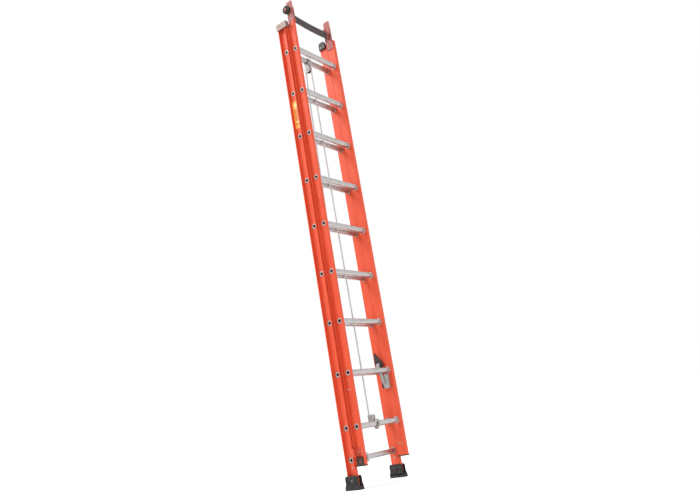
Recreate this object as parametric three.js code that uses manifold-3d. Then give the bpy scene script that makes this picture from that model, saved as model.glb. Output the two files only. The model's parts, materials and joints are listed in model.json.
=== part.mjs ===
// Two-section fibreglass extension ladder, retracted, standing on its boots.
// Millimetres. +Z runs up the rails and +X from the left rail to the right one, seen from the climber's side.
// The base section lies about y = 0, and the fly section slides in front of it, on the -Y side.
// The origin is on the ground, under the middle of the whole ladder's footprint.
import * as THREE from "three";
import { mergeVertices } from "three/addons/utils/BufferGeometryUtils.js";
import Module from "manifold-3d";

// ---- Driving dimensions ----
const PITCH = 300; // between rung centres
const LOWEST_RUNG_Z = 156; // the base's bottom rung sits closer than a pitch to the next one
const FIRST_SHARED_RUNG_Z = 330; // from here up, base and fly rungs are level with each other
const SHARED_RUNGS = 9;

const BASE_WEB_X = 200; // centre plane to the inner face of a base rail's web
const FLY_WEB_X = 190;
const RAIL_DEPTH = 63; // along Y
const FLANGE_REACH = 24; // web's inner face to flange tip
const WEB_THICK = 4.5;
const FLANGE_THICK = 5;
const RAIL_FILLET = 3; // at the corners between web and flange
const SECTION_GAP = 6; // between the base's front flanges and the fly's rear ones
const BASE_BOTTOM_Z = 22;
const BASE_TOP_Z = 2937;
const FLY_BOTTOM_Z = 125;
const FLY_TOP_Z = 2927;

const RUNG_HALF_WIDTH = 17; // along Y
const RUNG_TREAD_Z = 14; // tread above the rung's centre
const TREAD_BEVEL = 4;
const RUNG_BORE_R = 11.5;
const RUNG_END_PROUD = 3.5; // beyond the web's outer face
const RUNG_CLEAR_R = 20.8; // a round hole of this radius clears the tread's corners
const RUNG_COLLAR_R = 21;
const RUNG_COLLAR_THICK = 5;

const ROPE_R = 5;
const ROPE_X = -12;
const HITCH_X = -80; // the hauling leg runs down to here
const SHEAVE_R = 24; // to the rim
const SHEAVE_GROOVE_R = 17.5;
const SHEAVE_HALF = 8; // half the width along X

const GAP = 0.3; // left between pieces that touch
const RUN = 0.5; // left around a piece that turns or slides
const OVERCUT = 5; // how far a cutting shape runs past what it cuts

// ---- Derived places ----
const FLY_Y = -RAIL_DEPTH - SECTION_GAP;
const HALF_DEPTH = RAIL_DEPTH / 2;
const BASE_TIP_X = BASE_WEB_X + FLANGE_REACH;
const FLY_TIP_X = FLY_WEB_X + FLANGE_REACH;
const BASE_FRONT_Y = -HALF_DEPTH;
const FLY_REAR_Y = FLY_Y + HALF_DEPTH;
const TOP_RUNG_Z = FIRST_SHARED_RUNG_Z + PITCH * (SHARED_RUNGS - 1);
const sharedRungZ = (number) => FIRST_SHARED_RUNG_Z + PITCH * (number - 1);

// ---- Solids ----
const wasm = await Module();
wasm.setup();

function toSolid(geometry) {
  const bare = geometry.clone();
  bare.deleteAttribute("normal");
  bare.deleteAttribute("uv");
  const merged = mergeVertices(bare, 1e-3);
  return new wasm.Manifold(
    new wasm.Mesh({
      numProp: 3,
      vertProperties: new Float32Array(merged.attributes.position.array),
      triVerts: new Uint32Array(merged.index.array),
    }),
  );
}

function toGeometry(solid) {
  const { vertProperties, triVerts } = solid.getMesh();
  const geometry = new THREE.BufferGeometry();
  geometry.setAttribute("position", new THREE.BufferAttribute(new Float32Array(vertProperties), 3));
  geometry.setIndex(new THREE.BufferAttribute(new Uint32Array(triVerts), 1));
  const flat = geometry.toNonIndexed();
  flat.computeVertexNormals();
  return flat;
}

// Joins the first list of geometries and cuts the second list from them.
function carve(joined, removed = []) {
  let solid = toSolid(joined[0]);
  for (const geometry of joined.slice(1)) solid = solid.add(toSolid(geometry));
  for (const geometry of removed) solid = solid.subtract(toSolid(geometry));
  return toGeometry(solid);
}

function boxBetween(low, high) {
  const size = high.map((value, axis) => value - low[axis]);
  const middle = high.map((value, axis) => (value + low[axis]) / 2);
  return new THREE.BoxGeometry(...size).translate(...middle);
}

const corner = (points) => new THREE.Shape(points.map(([a, b]) => new THREE.Vector2(a, b)));

// An outline drawn in X and Y, raised from z0 to z1.
const raised = (shape, z0, z1, curveSegments = 4) =>
  new THREE.ExtrudeGeometry(shape, { depth: z1 - z0, bevelEnabled: false, curveSegments })
    .translate(0, 0, z0);

// An outline drawn in Y and Z, pushed from x0 to x1.
const YZ_TO_WORLD = new THREE.Matrix4().makeBasis(
  new THREE.Vector3(0, 1, 0),
  new THREE.Vector3(0, 0, 1),
  new THREE.Vector3(1, 0, 0),
);
const pushed = (shape, x0, x1, curveSegments = 4) =>
  new THREE.ExtrudeGeometry(shape, { depth: x1 - x0, bevelEnabled: false, curveSegments })
    .translate(0, 0, x0)
    .applyMatrix4(YZ_TO_WORLD);

// A round bar along X.
const barX = (radius, x0, x1, y, z, sides = 16) =>
  new THREE.CylinderGeometry(radius, radius, x1 - x0, sides)
    .rotateZ(Math.PI / 2)
    .translate((x0 + x1) / 2, y, z);

// A profile of [radius, height] points turned about an axis along X.
const turnedX = (profile, x, y, z, sides = 20) =>
  new THREE.LatheGeometry(profile.map(([r, h]) => new THREE.Vector2(r, h)), sides)
    .rotateZ(-Math.PI / 2)
    .translate(x, y, z);

// ---- Materials ----
const finish = (color, roughness, metalness) =>
  new THREE.MeshStandardMaterial({ color, roughness, metalness });
const FINISHES = {
  fibreglass: () => finish(0xe8603a, 0.42, 0),
  aluminium: () => finish(0xc6c6c2, 0.35, 1),
  zinc: () => finish(0xb9bbb8, 0.4, 1),
  paint: () => finish(0xdc5634, 0.45, 0.2),
  rubber: () => finish(0x2a2826, 0.85, 0),
  plastic: () => finish(0x1f1d1d, 0.55, 0),
  strap: () => finish(0x50464a, 0.8, 0),
  bracket: () => finish(0xb08a8c, 0.45, 0.6),
  rope: () => finish(0xd8d5cb, 0.95, 0),
  sticker: () => finish(0xf2a531, 0.5, 0),
};

const ladder = new THREE.Group();
ladder.name = "extension_ladder";
const base = new THREE.Group();
const fly = new THREE.Group();
ladder.add(base, fly);

function add(group, name, finishName, geometry) {
  const mesh = new THREE.Mesh(geometry, FINISHES[finishName]());
  mesh.name = name;
  group.add(mesh);
  return mesh;
}

// Each handed piece is drawn on the right, at +X, and turned over for the left.
const SIDES = [
  { side: "left", sign: -1 },
  { side: "right", sign: 1 },
];
function mirrored(geometry, sign) {
  if (sign > 0) return geometry;
  const flipped = (geometry.index ? geometry.toNonIndexed() : geometry).clone();
  const position = flipped.attributes.position;
  for (let i = 0; i < position.count; i += 3) {
    const a = [0, 1, 2].map((k) => [-position.getX(i + k), position.getY(i + k), position.getZ(i + k)]);
    position.setXYZ(i, ...a[0]);
    position.setXYZ(i + 1, ...a[2]);
    position.setXYZ(i + 2, ...a[1]);
  }
  flipped.computeVertexNormals();
  return flipped;
}
function addPair(group, stem, finishName, geometry) {
  for (const { side, sign } of SIDES) add(group, `${stem}_${side}`, finishName, mirrored(geometry, sign));
}

// ---- Rungs: a flat tread over a round belly, hollow right through ----
function rungOutline(grow = 0) {
  const w = RUNG_HALF_WIDTH + grow;
  const top = RUNG_TREAD_Z + grow;
  const shape = new THREE.Shape();
  shape.moveTo(w, 0);
  shape.lineTo(w, top - TREAD_BEVEL);
  shape.lineTo(w - TREAD_BEVEL, top);
  shape.lineTo(TREAD_BEVEL - w, top);
  shape.lineTo(-w, top - TREAD_BEVEL);
  shape.lineTo(-w, 0);
  shape.absarc(0, 0, w, Math.PI, 2 * Math.PI, false);
  return shape;
}

function rungGeometry(webX) {
  const endX = webX + WEB_THICK + RUNG_END_PROUD;
  const collarEnd = webX - GAP;
  return carve(
    [
      pushed(rungOutline(), -endX, endX),
      barX(RUNG_COLLAR_R, collarEnd - RUNG_COLLAR_THICK, collarEnd, 0, 0, 10),
      barX(RUNG_COLLAR_R, -collarEnd, RUNG_COLLAR_THICK - collarEnd, 0, 0, 10),
    ],
    [barX(RUNG_BORE_R, -endX - OVERCUT, endX + OVERCUT, 0, 0, 8)],
  );
}

function addRungs(group, stem, webX, y, heights, firstNumber) {
  const geometry = rungGeometry(webX);
  heights.forEach((z, index) => {
    add(group, `${stem}_${firstNumber + index}`, "aluminium", geometry).position.set(0, y, z);
  });
}

const sharedHeights = Array.from({ length: SHARED_RUNGS }, (_, index) => sharedRungZ(index + 1));
const baseHeights = [LOWEST_RUNG_Z, ...sharedHeights];
addRungs(base, "base_rung", BASE_WEB_X, 0, baseHeights, 0);
addRungs(fly, "fly_rung", FLY_WEB_X, FLY_Y, sharedHeights, 1);

// ---- Side rails: channels with the open side outward ----
function railOutline(webX) {
  const tip = webX + FLANGE_REACH;
  const inner = HALF_DEPTH - FLANGE_THICK;
  const web = webX + WEB_THICK;
  const shape = new THREE.Shape();
  shape.moveTo(webX + RAIL_FILLET, -HALF_DEPTH);
  shape.lineTo(tip, -HALF_DEPTH);
  shape.lineTo(tip, -inner);
  shape.lineTo(web + RAIL_FILLET, -inner);
  shape.absarc(web + RAIL_FILLET, RAIL_FILLET - inner, RAIL_FILLET, -Math.PI / 2, -Math.PI, true);
  shape.lineTo(web, inner - RAIL_FILLET);
  shape.absarc(web + RAIL_FILLET, inner - RAIL_FILLET, RAIL_FILLET, Math.PI, Math.PI / 2, true);
  shape.lineTo(tip, inner);
  shape.lineTo(tip, HALF_DEPTH);
  shape.lineTo(webX + RAIL_FILLET, HALF_DEPTH);
  shape.absarc(webX + RAIL_FILLET, HALF_DEPTH - RAIL_FILLET, RAIL_FILLET, Math.PI / 2, Math.PI, false);
  shape.lineTo(webX, RAIL_FILLET - HALF_DEPTH);
  shape.absarc(webX + RAIL_FILLET, RAIL_FILLET - HALF_DEPTH, RAIL_FILLET, Math.PI, Math.PI * 1.5, false);
  return shape;
}

function railGeometry(webX, z0, z1, heights) {
  const holes = heights.map((z) =>
    pushed(rungOutline(GAP), webX - OVERCUT, webX + WEB_THICK + OVERCUT).translate(0, 0, z),
  );
  return carve([raised(railOutline(webX), z0, z1, 2)], holes);
}

addPair(base, "base_rail", "fibreglass", railGeometry(BASE_WEB_X, BASE_BOTTOM_Z, BASE_TOP_Z, baseHeights));
const flyRail = railGeometry(FLY_WEB_X, FLY_BOTTOM_Z, FLY_TOP_Z, sharedHeights);
addPair(fly, "fly_rail", "fibreglass", flyRail.translate(0, FLY_Y, 0));

// ---- Boots: two cheeks on a ribbed sole ----
{
  const CHEEK = 6;
  const TOP_Z = 76;
  const HALF_TOP = 47; // along Y
  const HALF_SOLE = 53;
  const SOLE_EDGE_Z = 20;
  const SHOULDER_Z = 34;
  const BEVEL = 8;
  const SOLE_TOP_Z = BASE_BOTTOM_Z - GAP;
  const TREAD_BARS = 5;
  const GROOVE = 4;
  const GROOVE_DEPTH = 3;
  const x0 = BASE_WEB_X - GAP - CHEEK;
  const x1 = BASE_TIP_X + GAP + CHEEK;
  const side = corner([
    [-HALF_SOLE, 0],
    [HALF_SOLE, 0],
    [HALF_SOLE, SOLE_EDGE_Z],
    [HALF_TOP, SHOULDER_Z],
    [HALF_TOP, TOP_Z - BEVEL],
    [HALF_TOP - BEVEL, TOP_Z],
    [BEVEL - HALF_TOP, TOP_Z],
    [-HALF_TOP, TOP_Z - BEVEL],
    [-HALF_TOP, SHOULDER_Z],
    [-HALF_SOLE, SOLE_EDGE_Z],
  ]);
  const slot = boxBetween(
    [x0 + CHEEK, -HALF_SOLE - OVERCUT, SOLE_TOP_Z],
    [x1 - CHEEK, HALF_SOLE + OVERCUT, TOP_Z + OVERCUT],
  );
  const step = (2 * HALF_SOLE) / TREAD_BARS;
  const grooves = Array.from({ length: TREAD_BARS - 1 }, (_, index) => {
    const y = -HALF_SOLE + step * (index + 1);
    return boxBetween([x0 - OVERCUT, y - GROOVE / 2, -1], [x1 + OVERCUT, y + GROOVE / 2, GROOVE_DEPTH]);
  });
  addPair(base, "boot", "rubber", carve([pushed(side, x0, x1)], [slot, ...grooves]));
}

// ---- Top guides on the base, with a hook in front of the fly's rear flange ----
{
  const PLATE = 3;
  const HEIGHT = 42; // of the hook, below the rail's top
  const LIP_HEIGHT = 30; // of the lip down the rail's rear face
  const SIDE_GAP = 2; // flange tip to plate
  const HOOK_GAP = 1; // fly flange to hook
  const HOOK_END_GAP = 6; // fly web to the hook's end
  const wallX = BASE_TIP_X + SIDE_GAP;
  const rearY = HALF_DEPTH + 2 * PLATE;
  const hookY = FLY_REAR_Y - FLANGE_THICK - HOOK_GAP;
  const hookEndX = FLY_WEB_X + WEB_THICK + HOOK_END_GAP;
  const capUnderZ = BASE_TOP_Z + GAP;
  const capTopZ = capUnderZ + PLATE;
  const hook = corner([
    [hookEndX, hookY - PLATE],
    [wallX + PLATE, hookY - PLATE],
    [wallX + PLATE, rearY],
    [wallX, rearY],
    [wallX, hookY],
    [hookEndX, hookY],
  ]);
  const cap = boxBetween([BASE_WEB_X + 1, BASE_FRONT_Y, capUnderZ], [wallX + 1, rearY, capTopZ]);
  const lip = boxBetween(
    [BASE_WEB_X + 1, HALF_DEPTH + GAP, BASE_TOP_Z - LIP_HEIGHT],
    [wallX + 1, rearY, capTopZ],
  );
  addPair(base, "top_guide", "zinc", carve([raised(hook, BASE_TOP_Z - HEIGHT, capTopZ), cap, lip]));
}

// ---- Top blocks on the inner face of the base rails ----
{
  const FRONT_Y = -24;
  const REAR_Y = 30;
  const BELOW = 34; // under the rail's top
  const ABOVE = 22; // over it
  const BEVEL = 10;
  const THICK = 13;
  const outerX = BASE_WEB_X - GAP;
  const block = corner([
    [FRONT_Y, BASE_TOP_Z - BELOW],
    [REAR_Y, BASE_TOP_Z - BELOW],
    [REAR_Y, BASE_TOP_Z + ABOVE - BEVEL],
    [REAR_Y - BEVEL, BASE_TOP_Z + ABOVE],
    [FRONT_Y + BEVEL, BASE_TOP_Z + ABOVE],
    [FRONT_Y, BASE_TOP_Z + ABOVE - BEVEL],
  ]);
  addPair(base, "top_block", "plastic", pushed(block, outerX - THICK, outerX));
}

// ---- Pulley under the top base rung: housing, sheave and pin ----
const PULLEY_Z = TOP_RUNG_Z - 60;
const PULLEY_Y = -2;
{
  const CHEEK = 3;
  const CHEEK_R = 23; // round the pin
  const CHEEK_TOP_HALF = 15; // along Y, where it meets the saddle
  const CHEEK_TOP_Z = TOP_RUNG_Z - 22;
  const BAND_THICK = 4;
  const SADDLE_HALF = 14; // along Y
  const SADDLE_DEEP = 29; // under the rung's centre
  const SADDLE_HIGH = 15;
  const PIN_R = 4;
  const PIN_HEAD_R = 7;
  const PIN_HEAD = 4;
  const RIM = 1.5; // thickness of the sheave's flange at its edge
  const GROOVE_HALF = 3;
  const innerHalf = SHEAVE_HALF + 1;
  const outerHalf = innerHalf + CHEEK;
  const cut = outerHalf + OVERCUT;

  const cheek = new THREE.Shape();
  cheek.moveTo(-CHEEK_TOP_HALF, CHEEK_TOP_Z);
  cheek.lineTo(PULLEY_Y - CHEEK_R, PULLEY_Z);
  cheek.absarc(PULLEY_Y, PULLEY_Z, CHEEK_R, Math.PI, 2 * Math.PI, false);
  cheek.lineTo(CHEEK_TOP_HALF, CHEEK_TOP_Z);
  const band = barX(RUNG_CLEAR_R + BAND_THICK, -outerHalf, outerHalf, 0, TOP_RUNG_Z);
  const saddle = boxBetween(
    [-outerHalf, -SADDLE_HALF, TOP_RUNG_Z - SADDLE_DEEP],
    [outerHalf, SADDLE_HALF, TOP_RUNG_Z - SADDLE_HIGH],
  );
  const housing = carve(
    [pushed(cheek, -outerHalf, -innerHalf, 8), pushed(cheek, innerHalf, outerHalf, 8), saddle, band],
    [barX(PIN_R + GAP, -cut, cut, PULLEY_Y, PULLEY_Z, 12), barX(RUNG_CLEAR_R, -cut, cut, 0, TOP_RUNG_Z)],
  );
  add(base, "pulley_housing", "zinc", housing).position.x = ROPE_X;

  const sheaveProfile = [
    [PIN_R + RUN, -SHEAVE_HALF],
    [SHEAVE_R, -SHEAVE_HALF],
    [SHEAVE_R, RIM - SHEAVE_HALF],
    [SHEAVE_GROOVE_R, -GROOVE_HALF],
    [SHEAVE_GROOVE_R, GROOVE_HALF],
    [SHEAVE_R, SHEAVE_HALF - RIM],
    [SHEAVE_R, SHEAVE_HALF],
    [PIN_R + RUN, SHEAVE_HALF],
    [PIN_R + RUN, -SHEAVE_HALF],
  ];
  const sheave = turnedX(sheaveProfile, 0, PULLEY_Y, PULLEY_Z, 24);
  add(base, "sheave", "plastic", sheave).position.x = ROPE_X;

  const pinProfile = [
    [0, -outerHalf - PIN_HEAD],
    [PIN_HEAD_R, -outerHalf - PIN_HEAD],
    [PIN_HEAD_R, -outerHalf - GAP],
    [PIN_R, -outerHalf - GAP],
    [PIN_R, outerHalf + GAP],
    [PIN_HEAD_R, outerHalf + GAP],
    [PIN_HEAD_R, outerHalf + PIN_HEAD],
    [0, outerHalf + PIN_HEAD],
  ];
  add(base, "pulley_pin", "zinc", turnedX(pinProfile, 0, PULLEY_Y, PULLEY_Z, 12)).position.x = ROPE_X;
}

// ---- Rope: over the sheave, up from the fly and down behind the base rungs ----
const ROPE_LEG_Y = SHEAVE_GROOVE_R + ROPE_R + GAP;
const HOIST_Y = PULLEY_Y - ROPE_LEG_Y;
const CLAMP_TOP_Z = FIRST_SHARED_RUNG_Z + 52;

function ropeGeometry(points, steps) {
  const SECTION_SIDES = 8;
  const section = corner(
    Array.from({ length: SECTION_SIDES }, (_, index) => {
      const angle = (2 * Math.PI * index) / SECTION_SIDES;
      return [ROPE_R * Math.cos(angle), ROPE_R * Math.sin(angle)];
    }),
  );
  const path = new THREE.CatmullRomCurve3(points.map((p) => new THREE.Vector3(...p)), false, "centripetal");
  return new THREE.ExtrudeGeometry(section, { steps, extrudePath: path, bevelEnabled: false });
}
{
  const LEG_END_Z = PULLEY_Z - 3; // where a leg meets the half turn
  const HAUL_END_Z = LOWEST_RUNG_Z + 26;
  const LEAN = 1; // of the hoist leg towards the clamp
  const TURN_STEPS = 12;
  const haulY = PULLEY_Y + ROPE_LEG_Y + RUN;
  const behindRungsY = haulY + 3.5; // the hauling leg hangs this far back, clear of the rungs

  const hoist = ropeGeometry(
    [
      [ROPE_X, HOIST_Y - LEAN, CLAMP_TOP_Z + GAP],
      [ROPE_X, HOIST_Y - LEAN, CLAMP_TOP_Z + PITCH],
      [ROPE_X, HOIST_Y - LEAN / 2, TOP_RUNG_Z / 2],
      [ROPE_X, HOIST_Y, LEG_END_Z],
    ],
    12,
  );
  add(base, "rope_hoist_leg", "rope", hoist);

  const reach = ROPE_LEG_Y + RUN;
  const turn = Array.from({ length: TURN_STEPS + 1 }, (_, index) => {
    const angle = Math.PI - (Math.PI * index) / TURN_STEPS;
    return [ROPE_X, PULLEY_Y + reach * Math.cos(angle), PULLEY_Z + reach * Math.sin(angle)];
  });
  add(base, "rope_over_sheave", "rope", ropeGeometry(turn, TURN_STEPS));

  const haulX = (z) => ROPE_X + ((HITCH_X - ROPE_X) * (LEG_END_Z - z)) / (LEG_END_Z - HAUL_END_Z);
  const haul = ropeGeometry(
    [
      [ROPE_X, haulY, LEG_END_Z],
      [haulX(PULLEY_Z - 60), haulY + 0.5, PULLEY_Z - 60],
      ...[PULLEY_Z - 200, 2100, 1500, 900, 400].map((z) => [haulX(z), behindRungsY, z]),
      [HITCH_X, behindRungsY, HAUL_END_Z],
    ],
    20,
  );
  add(base, "rope_hauling_leg", "rope", haul);

  // The hitch: a ring of rope around the lowest rung with its knot behind it.
  const RING_HALF = 11; // along X
  const KNOT_R = 12;
  const KNOT_RISE = 8;
  const ringOuter = RUNG_CLEAR_R + 2 * ROPE_R;
  const cutHalf = RING_HALF + OVERCUT;
  const ring = barX(ringOuter, HITCH_X - RING_HALF, HITCH_X + RING_HALF, 0, LOWEST_RUNG_Z);
  const knotZ = LOWEST_RUNG_Z + KNOT_RISE;
  const knot = new THREE.SphereGeometry(KNOT_R, 10, 8).translate(HITCH_X, ringOuter + 1, knotZ);
  const ropeRoom = boxBetween(
    [HITCH_X - cutHalf, behindRungsY - ROPE_R - 3, HAUL_END_Z - GAP],
    [HITCH_X + cutHalf, behindRungsY + KNOT_R, HAUL_END_Z + KNOT_R],
  );
  const rungRoom = barX(RUNG_CLEAR_R, HITCH_X - cutHalf, HITCH_X + cutHalf, 0, LOWEST_RUNG_Z);
  add(base, "rope_hitch", "rope", carve([ring, knot], [rungRoom, ropeRoom]));
}

// ---- Sticker in the left rail's outer recess ----
{
  const BOTTOM_Z = 2188;
  const TOP_Z = 2376;
  const THICK = 0.6;
  const MARGIN = 3; // to the flanges
  const x = -BASE_WEB_X - WEB_THICK - GAP;
  const half = HALF_DEPTH - FLANGE_THICK - MARGIN;
  add(base, "sticker", "sticker", boxBetween([x - THICK, -half, BOTTOM_Z], [x, half, TOP_Z]));
}

// ---- Fly: end caps in the bottom of the channels ----
{
  const PLUG_HEIGHT = 40;
  const PLUG_MARGIN = 3; // to the flanges
  const PLATE_UNDER = 6; // the plate's lower face, under the rail's end
  const PLATE_PROUD = 1.5; // around the rail
  const RECESS_HALF = 12;
  const RECESS_DEEP = 3;
  const RECESS_START_Z = FLY_BOTTOM_Z + 8;
  const half = HALF_DEPTH - FLANGE_THICK - GAP - PLUG_MARGIN;
  const faceX = FLY_TIP_X + 1;
  const plug = boxBetween(
    [FLY_WEB_X + WEB_THICK + GAP, FLY_Y - half, FLY_BOTTOM_Z - 2],
    [faceX, FLY_Y + half, FLY_BOTTOM_Z + PLUG_HEIGHT],
  );
  const plate = boxBetween(
    [FLY_WEB_X - 2, FLY_Y - HALF_DEPTH - PLATE_PROUD, FLY_BOTTOM_Z - PLATE_UNDER],
    [FLY_TIP_X + 2, FLY_REAR_Y + PLATE_PROUD, FLY_BOTTOM_Z - GAP],
  );
  const recess = boxBetween(
    [faceX - RECESS_DEEP, FLY_Y - RECESS_HALF, RECESS_START_Z],
    [faceX + OVERCUT, FLY_Y + RECESS_HALF, RECESS_START_Z + 2 * RECESS_HALF],
  );
  addPair(fly, "fly_cap", "plastic", carve([plug, plate], [recess]));
}

// ---- Fly: bottom guides that hook behind the base's front flange ----
{
  const PLATE = 3;
  const START = 46; // above the rail's lower end
  const HEIGHT = 46;
  const SIDE_GAP = 2.5; // flange tip to plate
  const HOOK_GAP = 1; // base flange to hook
  const HOOK_END_GAP = 9; // base web to the hook's end
  const FILLET = 4; // clears the channel's inner corner
  const webX = FLY_WEB_X + WEB_THICK + GAP;
  const innerRear = FLY_REAR_Y - FLANGE_THICK - GAP;
  const innerFront = FLY_Y - HALF_DEPTH + 2 * FLANGE_THICK + GAP;
  const wallX = BASE_TIP_X + SIDE_GAP;
  const hookY = BASE_FRONT_Y + FLANGE_THICK + HOOK_GAP;
  const hookEndX = BASE_WEB_X + WEB_THICK + HOOK_END_GAP;
  const outline = corner([
    [webX, innerFront],
    [webX + PLATE, innerFront],
    [webX + PLATE, innerRear - FILLET - PLATE],
    [webX + FILLET + PLATE, innerRear - PLATE],
    [wallX + PLATE, innerRear - PLATE],
    [wallX + PLATE, hookY + PLATE],
    [hookEndX, hookY + PLATE],
    [hookEndX, hookY],
    [wallX, hookY],
    [wallX, innerRear],
    [webX + FILLET, innerRear],
    [webX, innerRear - FILLET],
  ]);
  const z0 = FLY_BOTTOM_Z + START;
  addPair(fly, "bottom_guide", "paint", raised(outline, z0, z0 + HEIGHT));
}

// ---- Fly: top brackets, wall rollers, axles and the pole strap ----
const BRACKET_THICK = 4;
const BRACKET_X = FLY_WEB_X - GAP; // outer face, against the web's inner face
{
  const TOP_Z = 3085;
  const BELOW = 62; // of the plate, under the rail's top
  const HALF = 27; // along Y
  const SHOULDER = 6; // under the top
  const ROLLER_R = 27;
  const ROLLER_WIDTH = 20;
  const ROLLER_EDGE = 3;
  const ROLLER_Z = 3025;
  const ROLLER_Y = -50;
  const AXLE_R = 5;
  const INNER_HEAD_R = 9;
  const INNER_HEAD = 5;
  const OUTER_HEAD_R = 11;
  const OUTER_HEAD = 4;
  const front = FLY_Y - HALF;
  const rear = FLY_Y + HALF;

  const plate = corner([
    [front, FLY_TOP_Z - BELOW],
    [rear, FLY_TOP_Z - BELOW],
    [rear, ROLLER_Z],
    [rear - SHOULDER / 2, TOP_Z - SHOULDER],
    [rear - SHOULDER * 1.5, TOP_Z],
    [front + SHOULDER * 1.5, TOP_Z],
    [front + SHOULDER / 2, TOP_Z - SHOULDER],
    [front, ROLLER_Z - ROLLER_WIDTH],
  ]);
  const axleHole = barX(AXLE_R + GAP, BRACKET_X - 10, BRACKET_X + 10, ROLLER_Y, ROLLER_Z, 12);
  const bracket = carve([pushed(plate, BRACKET_X - BRACKET_THICK, BRACKET_X)], [axleHole]);
  addPair(fly, "top_bracket", "bracket", bracket);

  const half = ROLLER_WIDTH / 2;
  const rollerInner = BRACKET_X + 2;
  const rollerProfile = [
    [AXLE_R + RUN, -half],
    [ROLLER_R - ROLLER_EDGE, -half],
    [ROLLER_R, ROLLER_EDGE - half],
    [ROLLER_R, half - ROLLER_EDGE],
    [ROLLER_R - ROLLER_EDGE, half],
    [AXLE_R + RUN, half],
    [AXLE_R + RUN, -half],
  ];
  addPair(fly, "wall_roller", "rubber", turnedX(rollerProfile, rollerInner + half, ROLLER_Y, ROLLER_Z, 24));

  const inner = BRACKET_X - BRACKET_THICK - GAP;
  const outer = rollerInner + ROLLER_WIDTH + 1;
  const axleProfile = [
    [0, inner - INNER_HEAD],
    [INNER_HEAD_R, inner - INNER_HEAD],
    [INNER_HEAD_R, inner],
    [AXLE_R, inner],
    [AXLE_R, outer],
    [OUTER_HEAD_R, outer],
    [OUTER_HEAD_R, outer + OUTER_HEAD],
    [0, outer + OUTER_HEAD],
  ];
  addPair(fly, "roller_axle", "zinc", turnedX(axleProfile, 0, ROLLER_Y, ROLLER_Z, 12));

  // The strap sags a little between the plates and has upright ribs on its rear face.
  const STRAP_Z = 2966;
  const STRAP_HEIGHT = 55;
  const STRAP_THICK = 7;
  const SAG = 9;
  const RIBS = 13;
  const RIB = 4;
  const RIB_SLOPE = 2;
  const span = BRACKET_X - BRACKET_THICK - GAP;
  const sagAt = (x) => -SAG * (1 - (x / span) ** 2);
  const strapFront = FLY_Y - 7.5;
  const strapRear = strapFront + STRAP_THICK;
  const ribWidth = (2 * span) / (RIBS * 2 + 1);
  const outline = new THREE.Shape();
  outline.moveTo(-span, strapFront);
  outline.lineTo(span, strapFront);
  outline.lineTo(span, strapRear);
  for (let i = RIBS - 1; i >= 0; i -= 1) {
    const left = -span + ribWidth * (2 * i + 1);
    outline.lineTo(left + ribWidth, strapRear);
    outline.lineTo(left + ribWidth - RIB_SLOPE, strapRear + RIB);
    outline.lineTo(left + RIB_SLOPE, strapRear + RIB);
    outline.lineTo(left, strapRear);
  }
  outline.lineTo(-span, strapRear);
  const strap = raised(outline, STRAP_Z - STRAP_HEIGHT / 2, STRAP_Z + STRAP_HEIGHT / 2);
  const position = strap.attributes.position;
  for (let i = 0; i < position.count; i += 1) position.setZ(i, position.getZ(i) + sagAt(position.getX(i)));
  add(fly, "pole_strap", "strap", strap);
}

// ---- Fly: rope clamp on the lowest rung ----
{
  const RING_THICK = 4;
  const RING_HALF = 10; // along X
  const LUG_HALF = 8;
  const SLOT_HALF = 2;
  const LUG_START = 12; // over the rung's centre
  const LUG_REACH = 5; // past the rope's centre
  const FOOT_DEEP = 32; // under the rung's centre
  const FOOT_HIGH = 15;
  const rung = FIRST_SHARED_RUNG_Z;
  const cutHalf = RING_HALF + OVERCUT;
  const ring = barX(RUNG_CLEAR_R + RING_THICK, ROPE_X - RING_HALF, ROPE_X + RING_HALF, FLY_Y, rung);
  const lug = boxBetween(
    [ROPE_X - LUG_HALF, FLY_Y + 6, rung + LUG_START],
    [ROPE_X + LUG_HALF, HOIST_Y + LUG_REACH, CLAMP_TOP_Z],
  );
  const foot = boxBetween(
    [ROPE_X - LUG_HALF, FLY_Y - LUG_HALF, rung - FOOT_DEEP],
    [ROPE_X + LUG_HALF, FLY_Y + LUG_HALF, rung - FOOT_HIGH],
  );
  const slot = boxBetween(
    [ROPE_X - SLOT_HALF, FLY_Y - 1, rung + RUNG_CLEAR_R + RING_THICK],
    [ROPE_X + SLOT_HALF, HOIST_Y - 9, CLAMP_TOP_Z + OVERCUT],
  );
  const rungRoom = barX(RUNG_CLEAR_R, ROPE_X - cutHalf, ROPE_X + cutHalf, FLY_Y, rung);
  add(fly, "rope_clamp", "zinc", carve([ring, lug, foot], [rungRoom, slot]));
}

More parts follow.
